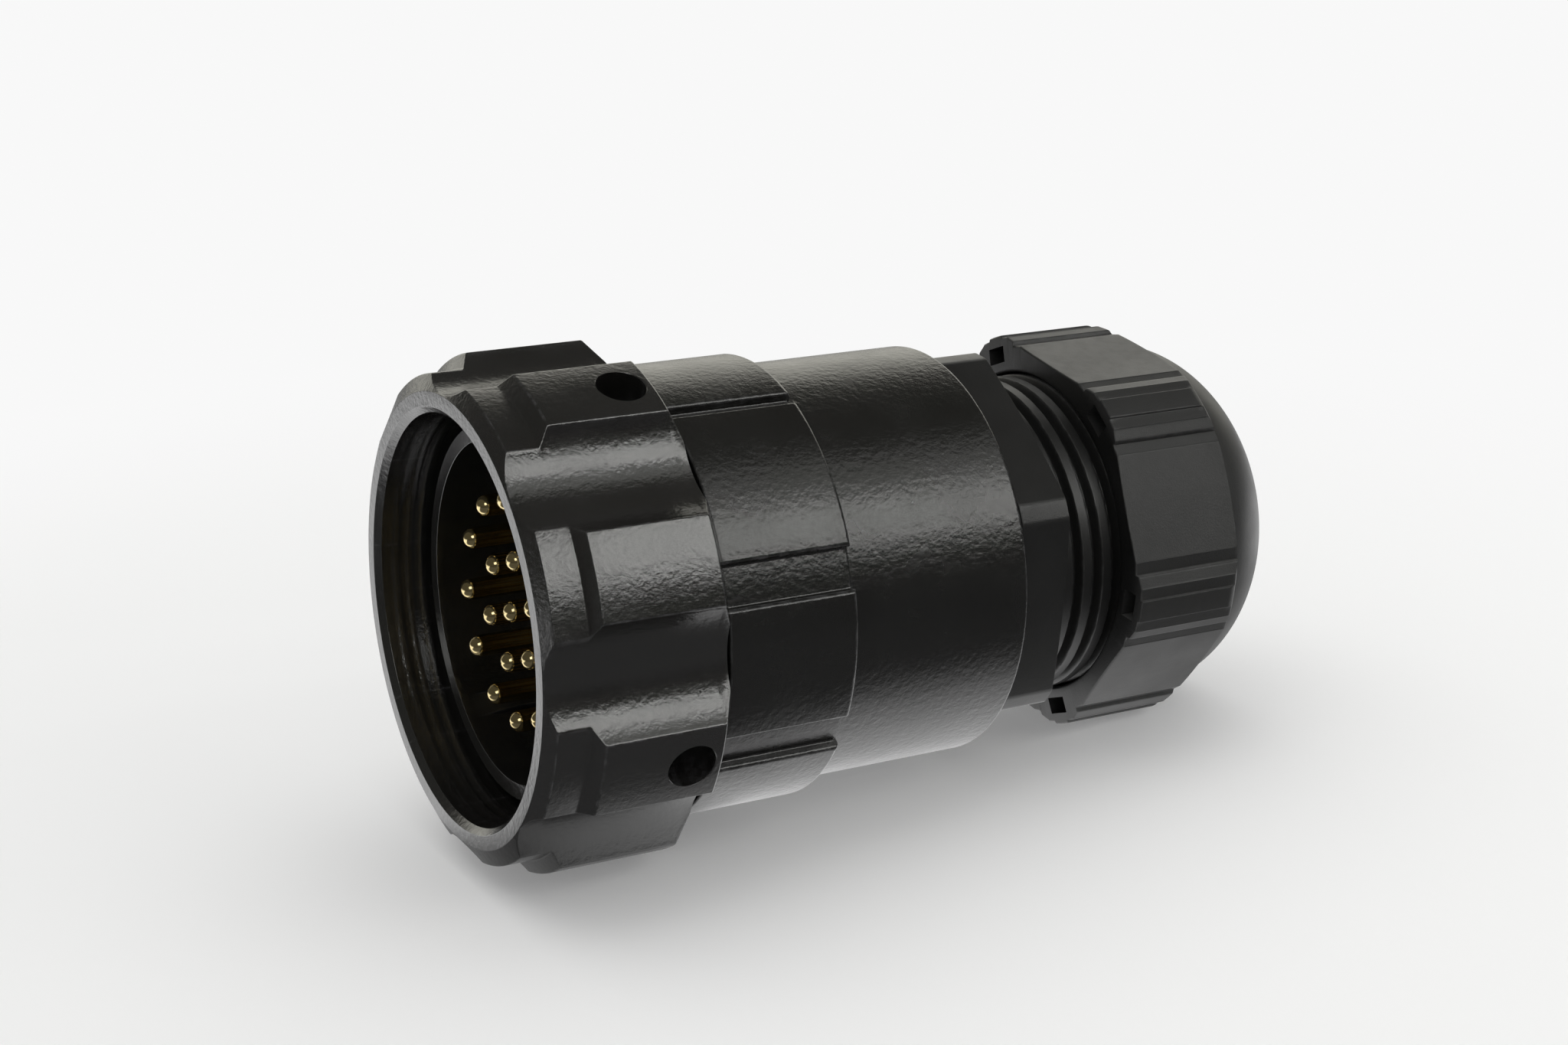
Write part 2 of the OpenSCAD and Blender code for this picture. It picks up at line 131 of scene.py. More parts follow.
class BackshellSettings(PropertyGroup):
    """Sizes of the painted backshell."""
    body_radius: length("Body radius", "Radius of the smooth rear body", 23.4)
    pad_radius: length("Pad radius", "Radius over the raised pads", 24.8)
    recess_radius: length("Recess radius", "Radius of the floor between the pads", 23.7)
    recess_width: angle("Recess width", "Width of the recesses as an angle", 10.7)
    recess_roll: angle("Recess roll", "Roll angle of the recess below the wide pad", -73.9)
    wide_pad: angle("Wide pad", "How far the wide pad reaches into the next recess", 7.2)
    pads: count("Pads", "Number of raised pads", 8)
    pad_edge: length("Pad edge", "Rounding of the painted pad edges", 0.42)


class GlandSettings(PropertyGroup):
    """Sizes of the gland body with its hexagon and threaded neck."""
    hex_flat: length("Hexagon", "Half the width across the hexagon's flats", 20.2)
    hex_corner: length("Hexagon corner", "Radius over the hexagon's turned corners", 22.7)
    hex_roll: angle("Hexagon roll", "Roll angle of one corner of the hexagon", -67.4)
    neck_radius: length("Neck radius", "Radius of the neck over its thread", 18.5)
    thread_pitch: length("Thread pitch", "Pitch of the neck's thread", 2.6)
    thread_depth: length("Thread depth", "Depth of the neck's thread", 1.3)
    groove_place: length("Groove place", "Place of a thread groove at the groove's roll angle", 67.4)
    groove_roll: angle("Groove roll", "Roll angle at which that place is measured", -72.6)


class NutSettings(PropertyGroup):
    """Sizes of the domed gland nut."""
    front: length("Front", "Place of the front face along the axis", 72.8)
    flat: length("Flats", "Half the width across the nut's flats", 21)
    corner: length("Corners", "Radius over the nut's turned corners", 23.2)
    roll: angle("Roll", "Roll angle of one corner of the nut", -40.2)
    groove_width: length("Groove width", "Width of the grooves beside each corner", 1.4)
    groove_depth: length("Groove depth", "Depth of the grooves beside each corner", 0.26)
    dome_place: length("Dome place", "Place of the dome's widest circle along the axis", 85.2)
    dome_radius: length("Dome radius", "Radius of the dome at its widest circle", 20.9)
    dome_height: length("Dome height", "Height of the full dome", 14.8)
    end: length("End", "Place of the flat end around the cable hole", 96.3)
    cable_hole: length("Cable hole", "Radius of the cable hole", 12.6)
    pocket_width: length("Pocket width", "Width of the pockets in the front face", 3.2)
    pocket_height: length("Pocket height", "Radial height of those pockets", 1.9)
    pocket_depth: length("Pocket depth", "Depth of those pockets", 8)
    pocket_radius: length("Pocket radius", "Radius of the inner side of those pockets", 20)


class FinishSettings(PropertyGroup):
    """Colours of the finishes."""
    anodised: colour("Anodised black", "Anodising of the ring and shell", (0.0066, 0.0064, 0.0056))
    # Pale colour of rubbed anodising and paint, also painted along edges as highlights.
    worn_and_highlit: colour("Worn and highlit edge", "Where anodising or paint is rubbed thin", (0.1, 0.1, 0.105))
    paint: colour("Backshell paint", "Glossy black paint of the backshell", (0.0052, 0.0051, 0.0043))
    nylon: colour("Gland nylon", "Moulded nylon of the gland", (0.0095, 0.0095, 0.0092))
    matte_nylon: colour("Nut nylon", "Moulded nylon of the nut", (0.018, 0.018, 0.0175))
    # Pale colour of scuffed nylon, also painted along edges as highlights.
    scuffed_and_highlit: colour("Scuffed and highlit nylon", "Where nylon is scuffed", (0.16, 0.16, 0.16))
    insulator: colour("Insulator", "Moulded black of the insulators", (0.04, 0.04, 0.036))
    rubber: colour("Rubber", "Black rubber of the seals", (0.02, 0.02, 0.02))
    rubbed: colour("Rubbed edge", "Where insulators and seals are rubbed", (0.05, 0.05, 0.05))
    gold: colour("Gold", "Gold plating of the contacts", (0.95, 0.77, 0.4))
    tarnish: colour("Tarnish", "Darker gold where the plating has dulled", (0.5, 0.3, 0.1))
    # Pale colour painted on the faces that look up, as light from above, in patches.
    top_light: colour("Top light", "Pale colour painted on top as light from above", (0.16, 0.16, 0.155))
    # Black painted as shade on the nut's forward faces around the gland's thread.
    painted_shade: colour("Painted shade", "Black grease around the gland's thread", (0.001, 0.001, 0.001))


class StageSettings(PropertyGroup):
    """Floor, lamps and camera."""
    floor: colour("Floor", "Colour of the pale floor", (0.9, 0.9, 0.9))
    floor_rest: length("Floor rest", "Height of the floor under the ring's rear edge", -27.31)
    floor_rest_place: length("Rest place", "Place of that edge along the axis", 18.9)
    floor_tilt: angle("Floor tilt", "Slope at which the plug lies on ring and nut", 4.23)
    camera_place: point("Camera place", "Where the camera stands", -97.2, -253.7, 84.8)
    camera_aim: point("Camera aim", "Point that the camera looks at", 40.6, 0.6, 5.2)
    camera_roll: angle("Camera roll", "Roll of the camera about its line of sight", -0.33)
    focal_length: FloatProperty(name="Focal length", description="Millimetres on a 36 mm frame",
                                default=61.33, subtype="DISTANCE_CAMERA")
    key_radiance: brightness("Key light", "Brightness of the softbox's strips", 2.8)
    upper_radiance: brightness("Upper light", "Brightness of the dim softbox above it", 0.33)
    fill_radiance: brightness("Fill light", "Brightness of the light above", 0.85)
    room_radiance: brightness("Room light", "Brightness of the room around", 0.6)


def rounded_profile(corners, steps=5):
    """Profile through corners of (radius, place, rounding), each corner rounded by an arc of that radius."""
    points = []
    for i, (radius, place, rounding) in enumerate(corners):
        here = np.array((radius, place))
        if not rounding:
            points.append(here)
            continue
        before = np.array(corners[i - 1][:2]) - here
        after = np.array(corners[(i + 1) % len(corners)][:2]) - here
        reach = 0.45 * min(np.linalg.norm(before), np.linalg.norm(after))
        before, after = before / np.linalg.norm(before), after / np.linalg.norm(after)
        half = math.acos(float(np.clip(before @ after, -1, 1))) / 2
        cut_back = min(rounding / math.tan(half), reach)
        centre = here + (before + after) / np.linalg.norm(before + after) * cut_back / math.cos(half)
        start, end = here + before * cut_back - centre, here + after * cut_back - centre
        turn = math.pi - 2 * half
        for t in np.linspace(0, 1, steps + 1):
            arc = math.sin((1 - t) * turn) * start + math.sin(t * turn) * end
            points.append(centre + arc / math.sin(turn))
    return np.array(points)


def with_thread_rows(profile, after, radius, places):
    """Adds rows on a cylinder behind a row of a profile: all radii, all places, and marks on the new rows."""
    added = np.column_stack([np.full_like(places, radius), places])
    rows = np.vstack([profile[:after + 1], added, profile[after + 1:]])
    marks = np.zeros((len(rows), 1), bool)
    marks[after + 1:after + 1 + len(places)] = True
    return rows[:, :1], rows[:, 1:], marks


def along(start, end, spacing):
    """Places from one end to the other, about that far apart."""
    return np.linspace(start, end, max(2, int(round(abs(end - start) / spacing)) + 1))


def around(radius, place, roll):
    """Grid of points at these radii, places along the axis and roll angles."""
    radius, place, roll = np.broadcast_arrays(radius, place, roll)
    return np.stack([place, radius * np.sin(roll), radius * np.cos(roll)], axis=-1)


def soft_min(a, b, width):
    """The lower of two heights, with the edge between them rounded over a width."""
    near = np.maximum(width - np.abs(a - b), 0) / width
    return np.minimum(a, b) - near * near * width / 4


def ease(value, start, end):
    """0 before start, 1 after end, smooth between."""
    t = np.clip((value - start) / (end - start), 0, 1)
    return t * t * (3 - 2 * t)


def thread_form(place, roll, pitch, offset, crest, flank):
    """Height of a right-hand thread, 0 in the groove to 1 on the crest. Widths are shares of the pitch."""
    turns = (place - offset) / pitch + roll / FULL_TURN
    from_groove = 0.5 - np.abs(turns % 1 - 0.5)
    edge = 0.5 - crest / 2
    return ease(from_groove, edge - flank, edge)


def closed_mesh(name, points):
    """Closed mesh from a grid: rows run along the profile, columns around the axis, and both join up."""
    rows, columns = points.shape[:2]
    index = np.arange(rows * columns).reshape(rows, columns)
    below = np.roll(index, -1, 0)
    faces = np.stack([index, below, np.roll(below, -1, 1), np.roll(index, -1, 1)], -1)
    mesh = bpy.data.meshes.new(name)
    mesh.from_pydata(points.reshape(-1, 3).tolist(), [], faces.reshape(-1, 4).tolist())
    mesh.shade_smooth()
    mesh.set_sharp_from_angle(angle=SHARP_ANGLE)
    normals = np.empty(rows * columns * 3, np.float32)
    mesh.vertex_normals.foreach_get("vector", normals)
    mark = mesh.attributes.new("edge", "FLOAT", "POINT")
    mark.data.foreach_set("value", edge_marks(points, normals.reshape(points.shape)).ravel())
    return mesh


def edge_marks(points, normals, near=0.5 * MM, full_bend=0.3):
    """How sharply a grid bends outwards at each point, 0 to 1, only where its neighbours lie near."""
    marks = np.zeros(points.shape[:2], np.float32)
    for axis in (0, 1):
        sides = [np.roll(points, step, axis) - points for step in (-1, 1)]
        lengths = [np.linalg.norm(side, axis=-1, keepdims=True) for side in sides]
        bend = sum(side / np.maximum(size, 1e-9) for side, size in zip(sides, lengths))
        convex = -(bend * normals).sum(-1) / full_bend
        marks = np.maximum(marks, np.where(np.maximum(*lengths)[..., 0] < near, convex, 0))
    return np.clip(marks, 0, 1).astype(np.float32)


def put(name, data):
    """A new object in the scene."""
    made = bpy.data.objects.new(name, data)
    bpy.context.scene.collection.objects.link(made)
    return made


def dressed(name, mesh, body, node, look):
    """Puts a mesh in the scene, in one of LOOKS, as a piece that stands for a CAD node on its body."""
    piece = put(name, mesh)
    if not mesh.materials:
        mesh.materials.append(finish(look))
    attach(piece, body)
    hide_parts(node)
    return piece


def even_normals(piece):
    """Keeps wide faces flat in their shading, so that only the broken edges turn."""
    weighted = piece.modifiers.new("even normals", "WEIGHTED_NORMAL")
    weighted.keep_sharp = True


def turned_cutter(mesh, rings, matrix, columns=48):
    """Adds a closed turned shape of rings of (radius, height) to a bmesh of cutters."""
    made = []
    for radius, height in rings:
        turns = [FULL_TURN * i / columns for i in range(columns)]
        made.append([mesh.verts.new(matrix @ Vector((radius * math.cos(t), radius * math.sin(t), height)))
                     for t in turns])
    for low, high in zip(made, made[1:]):
        for i in range(columns):
            mesh.faces.new((low[i], low[(i + 1) % columns], high[(i + 1) % columns], high[i]))
    mesh.faces.new(made[0][::-1])
    mesh.faces.new(made[-1])


def box_cutter(mesh, low, high, matrix):
    """Adds a box between two corners to a bmesh of cutters."""
    corners = bmesh.ops.create_cube(mesh, size=1)["verts"]
    centre, size = (low + high) / 2, high - low
    for v in corners:
        v.co = matrix @ (centre + Vector([a * b for a, b in zip(v.co, size)]))


def cut(piece, cutters, least_faces=100):
    """Cuts a bmesh of closed shapes out of a piece and leaves a plain mesh."""
    bmesh.ops.recalc_face_normals(cutters, faces=cutters.faces)
    shape = bpy.data.meshes.new("cutters")
    cutters.to_mesh(shape)
    cutters.free()
    tool = put("cutters", shape)
    boolean = piece.modifiers.new("cut", "BOOLEAN")
    boolean.object, boolean.operation, boolean.solver = tool, "DIFFERENCE", "EXACT"
    graph = bpy.context.evaluated_depsgraph_get()
    result = bpy.data.meshes.new_from_object(piece.evaluated_get(graph))
    piece.modifiers.clear()
    if len(result.polygons) < least_faces:
        raise RuntimeError(f"the cut left too little of {piece.name}")
    plain, piece.data = piece.data, result
    name = plain.name
    bpy.data.meshes.remove(plain)
    result.name = name
    result.set_sharp_from_angle(angle=SHARP_ANGLE)
    bpy.data.objects.remove(tool)
    bpy.data.meshes.remove(shape)


def radial_matrix(place, roll):
    """Frame at a place on the axis whose Z points out at a roll angle and whose X runs along the axis."""
    out = Vector((0, math.sin(roll), math.cos(roll)))
    side = out.cross(Vector((1, 0, 0)))
    return Matrix(((1, side.x, out.x, place), (0, side.y, out.y, 0), (0, side.z, out.z, 0), (0, 0, 0, 1)))


def fill(tree, node, **values):
    """Sets a node's settings and sockets by name. A socket that is given an output is linked to it."""
    for name, value in values.items():
        label = name.replace("_", " ")
        if hasattr(node, name):
            setattr(node, name, value)
        elif isinstance(value, bpy.types.NodeSocket):
            tree.links.new(value, node.inputs[label])
        else:
            node.inputs[label].default_value = value
    return node


def add_node(tree, kind, *sources, **values):
    """A new node whose first sockets are linked to these outputs, with others filled by name."""
    made = fill(tree, tree.nodes.new(kind), **values)
    for source, socket in zip(sources, made.inputs):
        tree.links.new(source, socket)
    return made


def step_node(tree, source, low, high, start=0.0, end=1.0, interpolation="SMOOTHSTEP"):
    """Takes a value from one level to another between two limits."""
    made = add_node(tree, "ShaderNodeMapRange", interpolation_type=interpolation, Value=source,
                    From_Min=low, From_Max=high, To_Min=start, To_Max=end)
    return made.outputs["Result"]


def math_node(tree, operation, a, b):
    return add_node(tree, "ShaderNodeMath", a, b, operation=operation).outputs["Value"]


def product_node(tree, *factors):
    """Product of any number of sockets."""
    product = factors[0]
    for factor in factors[1:]:
        product = math_node(tree, "MULTIPLY", product, factor)
    return product


def vector_node(tree, operation, source, constant=(0, 0, 0), result="Value"):
    """A vector operation on a socket and a constant vector."""
    made = add_node(tree, "ShaderNodeVectorMath", source, operation=operation)
    made.inputs[1].default_value = constant
    return made.outputs[result]


def split_node(tree, source):
    """The three parts of a vector."""
    made = add_node(tree, "ShaderNodeSeparateXYZ", Vector=source)
    return made.outputs["X"], made.outputs["Y"], made.outputs["Z"]


def noise_node(tree, spot, scale, detail, roughness):
    """Noise over a piece. Its scale is a number or a socket."""
    made = add_node(tree, "ShaderNodeTexNoise", Vector=spot.outputs["Object"], Scale=scale,
                    Detail=detail, Roughness=roughness)
    return made.outputs["Fac"]


def mixed_shader(tree, factor, first, second):
    return add_node(tree, "ShaderNodeMixShader", factor, first, second).outputs["Shader"]


def group_tree(name, inputs, outputs):
    """Shader group with float inputs and outputs: its tree, two end nodes and a node for the coordinates."""
    tree = bpy.data.node_groups.new(name, "ShaderNodeTree")
    for label, value in inputs.items():
        tree.interface.new_socket(label, in_out="INPUT", socket_type="NodeSocketFloat").default_value = value
    for label in outputs:
        tree.interface.new_socket(label, in_out="OUTPUT", socket_type="NodeSocketFloat")
    kinds = ("NodeGroupInput", "NodeGroupOutput", "ShaderNodeTexCoord")
    return (tree, *(tree.nodes.new(kind) for kind in kinds))


def grain_group():
    """Grain of a cast, blasted or moulded surface in two sizes, as a height and as patches of gloss."""
    tree, given, made, spot = group_tree(
        "Surface grain", {"Coarse scale": 500, "Fine scale": 2500, "Fine share": 0.4}, ("Height", "Patches"))
    coarse = noise_node(tree, spot, given.outputs["Coarse scale"], 2.0, 0.5)
    fine = noise_node(tree, spot, given.outputs["Fine scale"], 3.0, 0.6)
    mix = add_node(tree, "ShaderNodeMix", data_type="FLOAT", Factor=given.outputs["Fine share"],
                   A=coarse, B=fine)
    fill(tree, made, Height=mix.outputs["Result"], Patches=noise_node(tree, spot, 130.0, 3.0, 0.6))


def wear_and_highlight_group():
    """Mask of the rubbed edges, which are also painted as highlights: the marked edges of a piece, broken up
    by noise.
    """
    tree, given, made, spot = group_tree("Rubbed edges and painted highlights", {"Amount": 0.6}, ("Mask",))
    edge = add_node(tree, "ShaderNodeAttribute", attribute_name="edge").outputs["Fac"]
    breaks = step_node(tree, noise_node(tree, spot, 900.0, 4.0, 0.65), 0.42, 0.66, interpolation="LINEAR")
    fill(tree, made, Mask=product_node(tree, breaks, edge, given.outputs["Amount"]))


def top_light_group():
    """Mask of light painted on the faces that look up, broken into patches."""
    tree, given, made, spot = group_tree("Painted top light", {"Amount": 0.5}, ("Mask",))
    upward = split_node(tree, spot.outputs["Normal"])[2]
    up = step_node(tree, upward, 0.8, 1.0)
    patches = step_node(tree, noise_node(tree, spot, 700.0, 4.0, 0.6), 0.25, 0.6, 0.6, 1.0)
    fill(tree, made, Mask=product_node(tree, up, patches, given.outputs["Amount"]))


def front_shade_group():
    """Mask of shade painted on the faces that look forward, inside a radius around a thread. Its radii are in
    metres.
    """
    tree, given, made, spot = group_tree("Painted front shade", {"Amount": 0.5}, ("Mask",))
    lengthwise = split_node(tree, spot.outputs["Normal"])[0]
    across = vector_node(tree, "MULTIPLY", spot.outputs["Object"], (0, 1, 1), "Vector")
    forward = step_node(tree, lengthwise, -0.5, -0.9)
    around_thread = step_node(tree, vector_node(tree, "LENGTH", across), 0.0228, 0.0212)
    fill(tree, made, Mask=product_node(tree, forward, around_thread, given.outputs["Amount"]))


class Look(NamedTuple):
    """A finish. Its base colour is the setting of the same name, and its second field names the colour of its
    edges, which are worn and also painted as highlights.
    """
    name: str
    worn_and_highlit: str
    # Amount of rubbed edges, which are also painted as highlights.
    wear_and_highlight: float
    gloss: tuple  # roughness of the shiny and of the dull patches
    grain: tuple  # coarse scale, fine scale and share of the fine grain
    bump: float
    height: float  # of the bump, in millimetres
    metallic: float = 0.0
    ior: float = 1.5
    # Amount of light painted on the faces that look up, in patches.
    top_light: float = 0.0
    # Amount of black shade painted on the forward faces around a thread.
    front_shade: float = 0.0


LOOKS = {
    "anodised": Look("Black anodised aluminium", "worn_and_highlit", 0.5, (0.16, 0.27), (1500, 3600, 0.35), 1.0, 0.07,
                     ior=2.45),
    "paint": Look("Hammered black paint", "worn_and_highlit", 0.35, (0.2, 0.3), (1350, 3000, 0.3), 0.9, 0.1, ior=2.0),
    "nylon": Look("Satin black nylon", "scuffed_and_highlit", 0.12, (0.33, 0.43), (1100, 5200, 0.6), 0.5, 0.05,
                  ior=1.7, top_light=0.4),
    "matte_nylon": Look("Matte black nylon", "scuffed_and_highlit", 0.12, (0.4, 0.5), (1100, 5200, 0.6), 0.5, 0.05,
                        ior=1.68, top_light=0.4, front_shade=0.85),
    "insulator": Look("Moulded black insulator", "rubbed", 0.2, (0.4, 0.55), (700, 4000, 0.5), 0.3, 0.02),
    "rubber": Look("Black rubber", "rubbed", 0.2, (0.6, 0.75), (900, 4200, 0.6), 0.4, 0.03),
    "gold": Look("Gold plating", "tarnish", 0.0, (0.07, 0.15), (1200, 5000, 0.5), 0.15, 0.01, metallic=1.0),
}


def finish(key):
    """Material with grain in its gloss and bump, rubbed edges with painted highlights, light painted on the
    faces that look up, and shade painted on the forward faces around a thread.
    """
    look, colours = LOOKS[key], bpy.context.scene.plug_finish
    if look.name in bpy.data.materials:
        return bpy.data.materials[look.name]
    if "Surface grain" not in bpy.data.node_groups:
        for make_group in (grain_group, wear_and_highlight_group, top_light_group, front_shade_group):
            make_group()
    material = bpy.data.materials.new(look.name)
    material.use_nodes = True
    tree, groups = material.node_tree, bpy.data.node_groups
    # Layers over the base colour: rubbed edges with painted highlights, painted top light, and painted shade
    # on forward faces.
    layers = (("Rubbed edges and painted highlights", look.wear_and_highlight, getattr(colours, look.worn_and_highlit)),
              ("Painted top light", look.top_light, colours.top_light), ("Painted front shade", look.front_shade, colours.painted_shade))
    tint = (*getattr(colours, key), 1)
    for group, amount, over in layers:
        mask = add_node(tree, "ShaderNodeGroup", node_tree=groups[group], Amount=amount).outputs["Mask"]
        mix = add_node(tree, "ShaderNodeMix", data_type="RGBA", Factor=mask, A=tint, B=(*over, 1))
        tint = mix.outputs["Result"]
    coarse, fine, fine_share = look.grain
    surface = add_node(tree, "ShaderNodeGroup", node_tree=groups["Surface grain"],
                       Coarse_scale=coarse, Fine_scale=fine, Fine_share=fine_share)
    gloss = step_node(tree, surface.outputs["Patches"], 0.3, 0.7, *look.gloss, interpolation="LINEAR")
    relief = add_node(tree, "ShaderNodeBump", Strength=look.bump, Distance=look.height * MM,
                      Height=surface.outputs["Height"])
    fill(tree, tree.nodes["Principled BSDF"], Metallic=look.metallic, IOR=look.ior, Base_Color=tint,
         Roughness=gloss, Normal=relief.outputs["Normal"])
    return material


def section_columns(copies, first_steps, edge_offsets, second_steps):
    """Columns around equal sections, each of a first face with a second face on either side.

    Rows: centre of the first face, side, share of the first face and of the second, offset from their edge.
    """
    half = [(t, 0, 0) for t in np.linspace(0, 1, first_steps, endpoint=False)]
    half += [(1, 0, offset * MM) for offset in edge_offsets]
    half += [(1, t, 0) for t in np.linspace(0, 1, second_steps + 2)[1:-1]]
    columns = []
    for i in range(copies):
        centre, following = (FULL_TURN * k / copies for k in (i, i + 1))
        columns += [(centre, 1, *h) for h in half]
        columns.append((centre, 1, 1, 1, 0))
        columns += [(following, -1, *h) for h in half[:0:-1]]
    return np.array(columns).T


def ring_mesh(s):
    """The coupling ring: turned profile, milled flutes and the coupling thread in its bore."""
    face, land, lug, bore, end = s.face_radius, s.land_radius, s.lug_radius, s.bore_radius, s.ring_length
    mouth, bevel_end, ramp_start, ramp_end = 0.7 * MM, 0.9 * MM, 4.5 * MM, 5.5 * MM
    lip_front, lip_rear, chamfer_start = end - 5 * MM, end - 2.6 * MM, end - 1.4 * MM
    counterbore, thread_start, thread_end = 23.7 * MM, 0.9 * MM, 11 * MM
    lowest_cut, inner_edge = s.flute_floor + 0.1 * MM, math.radians(8)
    bevel = [(r, bevel_end * (r - face) / (land - face), 0)
             for r in np.linspace(lowest_cut, land - 0.25 * MM, 7)]
    profile = rounded_profile([
        (bore + mouth, 0, 0.1 * MM), (face, 0, 0.14 * MM), *bevel, (land, bevel_end, 0.16 * MM),
        (land, ramp_start, 0.4 * MM), (lug, ramp_end, 0.35 * MM), (lug, chamfer_start, 0.3 * MM),
        (s.rear_radius, end, 0.2 * MM), (counterbore, end, 0.12 * MM), (counterbore, lip_rear, 0),
        (s.lip_radius, lip_rear, 0.1 * MM), (s.lip_radius, lip_front, 0.1 * MM), (bore, lip_front, 0),
        (bore, mouth, 0.05 * MM),
    ])
    lip = np.flatnonzero(np.isclose(profile[:, 1], lip_front) & np.isclose(profile[:, 0], bore))[0]
    thread_rows = along(thread_end, thread_start, s.thread_pitch / 14)
    row_radius, place, in_bore = with_thread_rows(profile, lip, bore, thread_rows)

    offsets = (-0.3, -0.2, -0.12, -0.06, 0, 0.06, 0.12, 0.2, 0.3)
    centre, side, flute, on_lug, offset = section_columns(s.lugs, 12, offsets, 6)
    cutter_place = s.flute_floor + s.flute_cutter
    met = np.clip(row_radius, lowest_cut, None)
    edge = np.arccos((cutter_place ** 2 + met ** 2 - s.flute_cutter ** 2) / (2 * cutter_place * met))
    edge = np.where(row_radius < s.flute_floor, inner_edge, edge)
    from_flute = edge * flute + (math.pi / s.lugs - edge) * on_lug + offset / met
    reach = s.flute_cutter ** 2 - (cutter_place * np.sin(from_flute)) ** 2
    uncut = 2 * lug
    floor = np.where(reach > 0, cutter_place * np.cos(from_flute) - np.sqrt(np.maximum(reach, 0)), uncut)
    roll = centre + side * from_flute
    radius = soft_min(row_radius, floor, s.edge)

    ridge = thread_form(place, roll, s.thread_pitch, offset=0.4 * MM, crest=0.2, flank=0.3)
    ridge = ridge * ease(place, 1.0 * MM, 2.4 * MM) * (1 - ease(place, 9 * MM, 10.5 * MM))
    radius = radius - np.where(in_bore, s.thread_depth * ridge, 0)
    return closed_mesh("coupling_ring_dressed", around(radius, place, roll))


def shell_mesh(s):
    """The plug shell: barrel with a rounded rim, flange, insulator seat and polarising key."""
    outer, bore, rim = s.barrel_radius, s.barrel_bore, s.rim_place
    flange, flange_start, flange_end = 21.9 * MM, 13 * MM, 15 * MM
    seat, seat_place, rear = 19.2 * MM, 19.6 * MM, 32 * MM
    bore_rows = (19.6, 19.5, 19.4, 19.3, 16, 14, 13, 12.2, 11.4, 10.6, 9.8, 9, 8.2, 7.5, 6.9, 6.5)
    rows = rounded_profile([
        (bore, rim, 0.06 * MM), (outer, rim, 0.1 * MM), (outer, flange_start, 0),
        (flange, flange_start, 0.15 * MM), (flange, flange_end, 0.15 * MM), (outer, flange_end, 0),
        (outer, rear, 0.2 * MM), (seat, rear, 0.2 * MM), (seat, seat_place, 0),
        *[(bore, x * MM, 0) for x in bore_rows],
    ], 6)
    half_key, key_edge = s.key_width / 2 / bore, 0.12 * MM / bore
    near = np.linspace(-0.2, 0.2, 9) * MM / bore
    roll = np.unique(np.round(np.concatenate([
        np.linspace(0, FULL_TURN, 180, endpoint=False),
        s.key_roll - half_key + near, s.key_roll + half_key + near]), 6))
    across = 1 - ease(np.abs(roll - s.key_roll), half_key - key_edge, half_key + key_edge)
    place = rows[:, 1:]
    lengthwise = ease(place, rim + 0.8 * MM, rim + 7 * MM) * (1 - ease(place, 19.35 * MM, 19.5 * MM))
    inside = np.isclose(rows[:, :1], bore)
    radius = rows[:, :1] - np.where(inside, s.key_height * lengthwise * across, 0)
    return closed_mesh("plug_shell_dressed", around(radius, place, roll))


# Radius and place of the contact's rows behind its round nose, in millimetres: pin, collar and solder cup.
PIN_ROWS = ((1.2, 6), (1.2, 17.3), (2.0, 17.4), (2.0, 19.8), (1.7, 19.8), (1.7, 23.3), (1.7, 29.6),
            (1.62, 29.8), (1.3, 29.8), (1.25, 29.6), (1.25, 23.8), (0.1, 23.4))


def pin_mesh(s):
    """One contact along X from its tip: round-nosed pin, locking collar and solder cup."""
    r = s.pin_radius
    nose = [(r * math.sin(a), r * (1 - math.cos(a))) for a in np.linspace(0.08, math.pi / 2, 12)]
    rows = np.array(nose + [(radius * MM, place * MM) for radius, place in PIN_ROWS])
    roll = np.linspace(0, FULL_TURN, 32, endpoint=False)
    return closed_mesh("contact_dressed", around(rows[:, :1], rows[:, 1:], roll))


def pad_columns(s):
    """Roll angles around the backshell and the height of the pads there above the recess floor."""
    rise, rounding, fillet = s.pad_radius - s.recess_radius, s.pad_edge, 0.25 * MM
    arc = np.linspace(0, math.pi / 2, 6)
    step = [(-fillet * (1 - math.sin(a)), fillet * (1 - math.cos(a))) for a in arc]
    step += [(0.01 * MM + rounding * (1 - math.cos(a)), rise - rounding * (1 - math.sin(a))) for a in arc]
    step = np.array(step)
    turn = step[:, 0] / s.pad_radius
    pitch = FULL_TURN / s.pads
    roll, height = [], []
    for i in range(s.pads):
        middle = s.recess_roll + i * pitch
        start = middle - s.recess_width / 2 + (s.wide_pad if i == 1 else 0)
        end = middle + s.recess_width / 2
        next_start = middle + pitch - s.recess_width / 2 + (s.wide_pad if i == 0 else 0)
        roll += list(start - turn[::-1]) + list(np.linspace(start - turn[0], end + turn[0], 7)[1:-1])
        height += list(step[::-1, 1]) + [0] * 5
        roll += list(end + turn) + list(np.linspace(end + turn[-1], next_start - turn[-1], 18)[1:-1])
        height += list(step[:, 1]) + [rise] * 16
    return np.array(roll), np.array(height)


